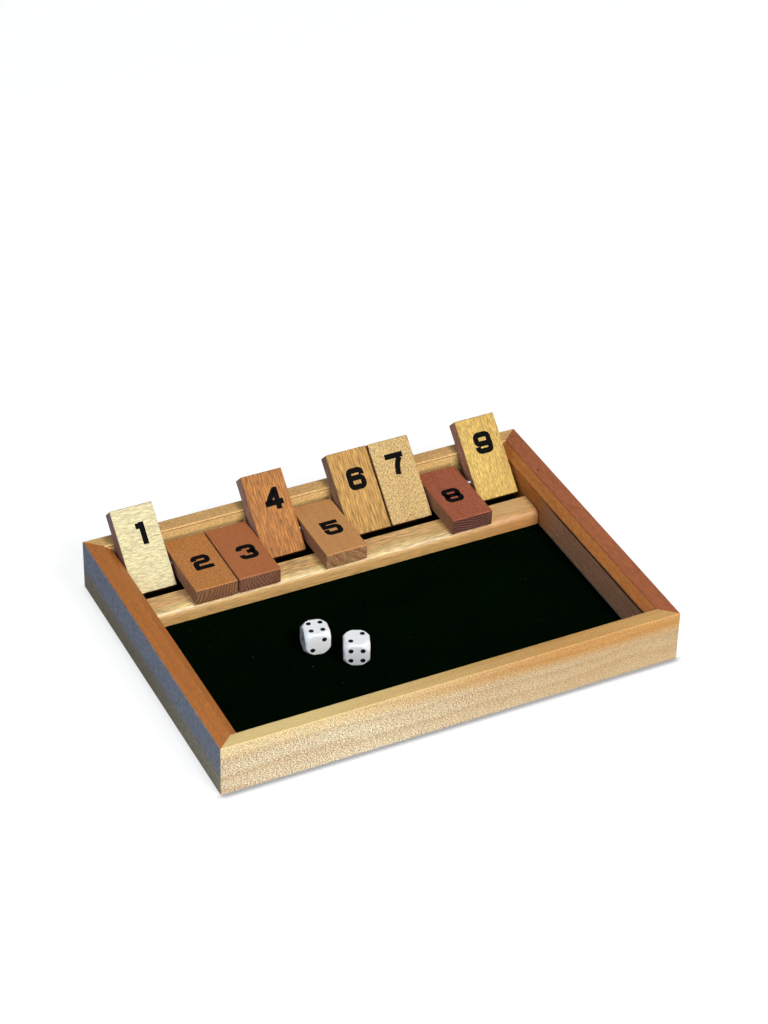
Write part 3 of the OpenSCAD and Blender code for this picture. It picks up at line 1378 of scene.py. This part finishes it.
@dataclass
class Die:
    """One die and the paint in its pips.

    Attributes:
        node: The die's node.
        turn: Its turn about Z, in degrees.
        top: The number on top.
        front: The number on the front.
        left: The number on the left.
        edge: The die's edge in millimetres.
        pip_width: The width of a pip.
        pip_depth: Its depth.
        pip_pitch: The distance between the outer pips' middles.
        paint: The thickness of the paint in a pip.
        rim: How far the paint's rim lies below the face.
    """

    node: str
    turn: float
    top: int
    front: int
    left: int
    edge: float = 15.0
    pip_width: float = 3.0
    pip_depth: float = 0.55
    pip_pitch: float = 6.7
    paint: float = 0.03
    rim: float = 0.02

    def places(self, number: int) -> list[tuple[float, float]]:
        """The places of a face's pips.

        Args:
            number: The number on the face.

        Returns:
            A place for each pip, in steps of half of the outer pips' distance.
        """
        pairs = {
            1: [(0, 0)],
            2: [(-1, -1), (1, 1)],
            4: [(-1, -1), (-1, 1), (1, -1), (1, 1)],
            6: [(x, y) for x in (-1, 1) for y in (-1, 0, 1)],
        }
        return pairs[number] if number in pairs else pairs[number - 1] + pairs[1]

    def faces(self) -> dict[int, Matrix]:
        """The turns that bring the top to the other faces; opposite faces make 7.

        Returns:
            A turn for each number.
        """
        turns = (
            (self.top, 0, "X"), (7 - self.top, 180, "X"), (self.front, 90, "X"),
            (7 - self.front, -90, "X"), (self.left, -90, "Y"), (7 - self.left, 90, "Y"),
        )
        return {face: Matrix.Rotation(math.radians(turn), 4, axis) for face, turn, axis in turns}

    def paint_pips(self, ink: Material) -> bpy.types.Object:
        """Makes the paint that lies in the pips.

        Args:
            ink: The paint.

        Returns:
            The piece.
        """
        low, high = corners(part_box(self.node))
        centre = (low + high) / 2
        ball = ((self.pip_width / 2) ** 2 + self.pip_depth**2) / (2 * self.pip_depth)
        mesh = bmesh.new()
        for number, face in self.faces().items():
            for x, y in self.places(number):
                step = self.pip_pitch / 2
                seat = Vector((x * step, y * step, self.edge / 2 + ball - self.pip_depth))
                made = bmesh.ops.create_uvsphere(
                    mesh, u_segments=32, v_segments=48, radius=ball - self.paint,
                    matrix=face @ Matrix.Translation(seat),
                )["verts"]
                outward = face @ Vector((0, 0, 1))
                geometry = list({g for v in made for g in (v, *v.link_edges, *v.link_faces)})
                bmesh.ops.bisect_plane(
                    mesh, geom=geometry, plane_co=outward * (self.edge / 2 - self.rim),
                    plane_no=outward, clear_outer=True,
                )
        bmesh.ops.reverse_faces(mesh, faces=mesh.faces)
        place = Matrix.Translation(centre) @ Matrix.Rotation(math.radians(self.turn), 4, "Z")
        bmesh.ops.transform(mesh, matrix=place @ Matrix.Scale(MM, 4), verts=mesh.verts)
        return new_piece(f"{self.node}_pips", mesh, ink)

    def build(self, plastic: Material, ink: Material) -> None:
        """Dresses the die.

        Args:
            plastic: The die's plastic.
            ink: The pips' paint.
        """
        dress(self.node, plastic)
        pips = self.paint_pips(ink)
        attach(pips, self.node)
        log.info("%s: %d faces of paint", pips.name, len(pips.data.polygons))


# ---- Camera, light and floor ----


@dataclass(frozen=True)
class Lamp:
    """A square soft light.

    Attributes:
        name: The lamp's name.
        azimuth: Where it stands round the tray, in degrees, from the player to the right.
        height: How high it stands, in degrees.
        distance: Its distance from the tray in metres.
        size: Its edge in metres.
        power: Its power in watts.
        colour: Its colour.
    """

    name: str
    azimuth: float
    height: float
    distance: float
    size: float
    power: float
    colour: Colour

    def place(self, target: Vector) -> None:
        """Puts the lamp up.

        Args:
            target: What it looks at.
        """
        data = bpy.data.lights.new(self.name, "AREA")
        data.size = self.size
        data.energy = self.power
        data.color = self.colour
        lamp = bpy.data.objects.new(self.name, data)
        way = direction(self.azimuth, self.height)
        lamp.location = target + way * self.distance
        lamp.rotation_euler = way.to_track_quat("Z", "Y").to_euler()
        bpy.context.scene.collection.objects.link(lamp)


@dataclass
class Studio:
    """The camera, lamps, world and floor.

    Attributes:
        azimuth: Where the camera stands, as a lamp's, in degrees.
        height: How high it stands, in degrees.
        roll: How far it is turned about its line of sight, in degrees.
        distance: Its distance from its target in metres.
        target: What it looks at.
        focal_length: Its focal length in millimetres.
        sensor_width: The width of its picture plane in millimetres.
        clip_start: How near it still sees, in metres.
        floor_size: The floor's edge in metres.
        sky: The colour of the light from all round.
        sky_strength: Its strength.
        mirrored_sky: The sky as shiny pieces mirror it.
        floor_bounce: The floor's colour as it lights the tray.
        floor_dim: What it takes from the lamps where it is seen.
        floor_glow: The light that it adds there.
        mirrored_floor: The floor as shiny pieces mirror it.
        contact_reach: How near to the tray the floor darkens, in metres.
        contact: How much it darkens there.
        contact_ahead: How much more it darkens in front of the tray.
        contact_colour: The light that is left there.
        lamps: The lamps.
        lamp_target: What they shine on.
    """

    azimuth: float = -26.635
    height: float = 36.186
    roll: float = 1.374
    distance: float = 1.77215
    target: Vector = field(default_factory=lambda: Vector((0.05013, 0.09385, 0.0)))
    focal_length: float = 103.5
    sensor_width: float = 36.0
    clip_start: float = 0.05
    floor_size: float = 8.0
    sky: Colour = (0.86, 0.93, 1.0)
    sky_strength: float = 0.25
    mirrored_sky: Colour = (0.5, 0.5, 0.5)
    floor_bounce: Colour = (0.5, 0.5, 0.52)
    floor_dim: Colour = (0.2, 0.2, 0.2)
    floor_glow: float = 0.88
    mirrored_floor: Colour = (0.42, 0.46, 0.58)
    contact_reach: float = 5 * MM
    contact: float = 0.3
    contact_ahead: float = 1.65
    contact_colour: Colour = (0.02, 0.02, 0.022)
    lamps: tuple[Lamp, ...] = (
        Lamp("key_light", 19.0, 48.0, 2.2, 0.6, 31.5, (1.0, 0.975, 0.94)),
        Lamp("front_fill", -2.0, 14.0, 2.2, 0.9, 24.0, (1.0, 0.98, 0.95)),
        Lamp("side_fill", -75.0, 35.0, 2.6, 1.2, 14.0, (0.5, 0.74, 1.0)),
    )
    lamp_target: tuple[float, float, float] = (0.0, 0.0, 0.02)

    def place_camera(self) -> None:
        """Puts the camera up."""
        around, roll = math.radians(self.azimuth), math.radians(self.roll)
        back = direction(self.azimuth, self.height)
        right = Vector((math.cos(around), math.sin(around), 0))
        above = back.cross(right)
        turned = (
            math.cos(roll) * right + math.sin(roll) * above,
            -math.sin(roll) * right + math.cos(roll) * above,
            back,
        )
        data = bpy.data.cameras.new("camera")
        data.lens = self.focal_length
        data.sensor_width = self.sensor_width
        data.clip_start = self.clip_start
        camera = bpy.data.objects.new("camera", data)
        matrix = Matrix(turned).transposed().to_4x4()
        matrix.translation = self.target + back * self.distance
        camera.matrix_world = matrix
        bpy.context.scene.collection.objects.link(camera)
        bpy.context.scene.camera = camera

    def set_world(self) -> None:
        """Makes a pale even sky that is white where it is seen."""
        maker = NodeMaker(bpy.data.worlds.new("sky"))
        path = maker.add("ShaderNodeLightPath").outputs
        shiny = Value(maker, path["Is Glossy Ray"]).most(
            Value(maker, path["Is Transmission Ray"])
        )
        fill = maker.shader("Background", self.sky, Strength=self.sky_strength)
        light = maker.blend(shiny, fill, maker.shader("Background", self.mirrored_sky))
        white = maker.shader("Background", WHITE)
        shown = maker.blend(path["Is Camera Ray"], light, white)
        maker.add("ShaderNodeOutputWorld", None, {0: shown.outputs[0]})
        bpy.context.scene.world = maker.owner

    def lay_floor(self) -> None:
        """Lays a white floor with the tray's soft shadow, darker close to the tray."""
        maker = NodeMaker.material("white_floor")
        path = maker.add("ShaderNodeLightPath").outputs
        dim = maker.shader("BsdfDiffuse", self.floor_dim)
        glow = maker.shader("Emission", WHITE, Strength=self.floor_glow)
        bright = maker.add("ShaderNodeAddShader", None, {0: dim.outputs[0], 1: glow.outputs[0]})
        near = maker.add(
            "ShaderNodeAmbientOcclusion", {"samples": 4}, {"Distance": self.contact_reach}
        )
        here = maker.add("ShaderNodeTexCoord").outputs["Object"]
        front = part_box("front_rail")[0][1]
        ahead = maker.parts(here)[1].rise(front + MM, front - MM)
        close = 1.0 - Value(maker, near.outputs["AO"])
        contact = (close * (self.contact + ahead * self.contact_ahead)).clamped()
        seen = maker.blend(contact, bright, maker.shader("Emission", self.contact_colour))
        bounce = maker.shader("BsdfDiffuse", self.floor_bounce)
        lit = maker.blend(path["Is Camera Ray"], bounce, seen)
        mirrored = maker.shader("Emission", self.mirrored_floor)
        shown = maker.blend(path["Is Glossy Ray"], lit, mirrored)
        maker.add("ShaderNodeOutputMaterial", None, {0: shown.outputs[0]})
        mesh = bmesh.new()
        bmesh.ops.create_grid(mesh, x_segments=1, y_segments=1, size=self.floor_size / 2)
        floor = new_piece("floor", mesh, maker.owner)

    def build(self) -> None:
        """Sets the whole studio."""
        self.place_camera()
        self.set_world()
        self.lay_floor()
        for lamp in self.lamps:
            lamp.place(Vector(self.lamp_target))
        bpy.context.scene.view_settings.view_transform = "Standard"


def main() -> None:
    """Builds the scene in order."""
    logging.basicConfig(level=logging.INFO, format="%(name)s: %(message)s")
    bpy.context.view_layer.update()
    Studio().build()
    Tray().build()
    TileBank().build()
    plastic = DiePlastic().build()
    paint = Ink("pip_paint", tint(6, 6, 7), 0.4, 0.2).build()
    Die("left_die", -11.0, 4, 2, 1).build(plastic, paint)
    Die("right_die", -23.0, 2, 4, 6).build(plastic, paint)


if __name__ == "__main__":
    main()
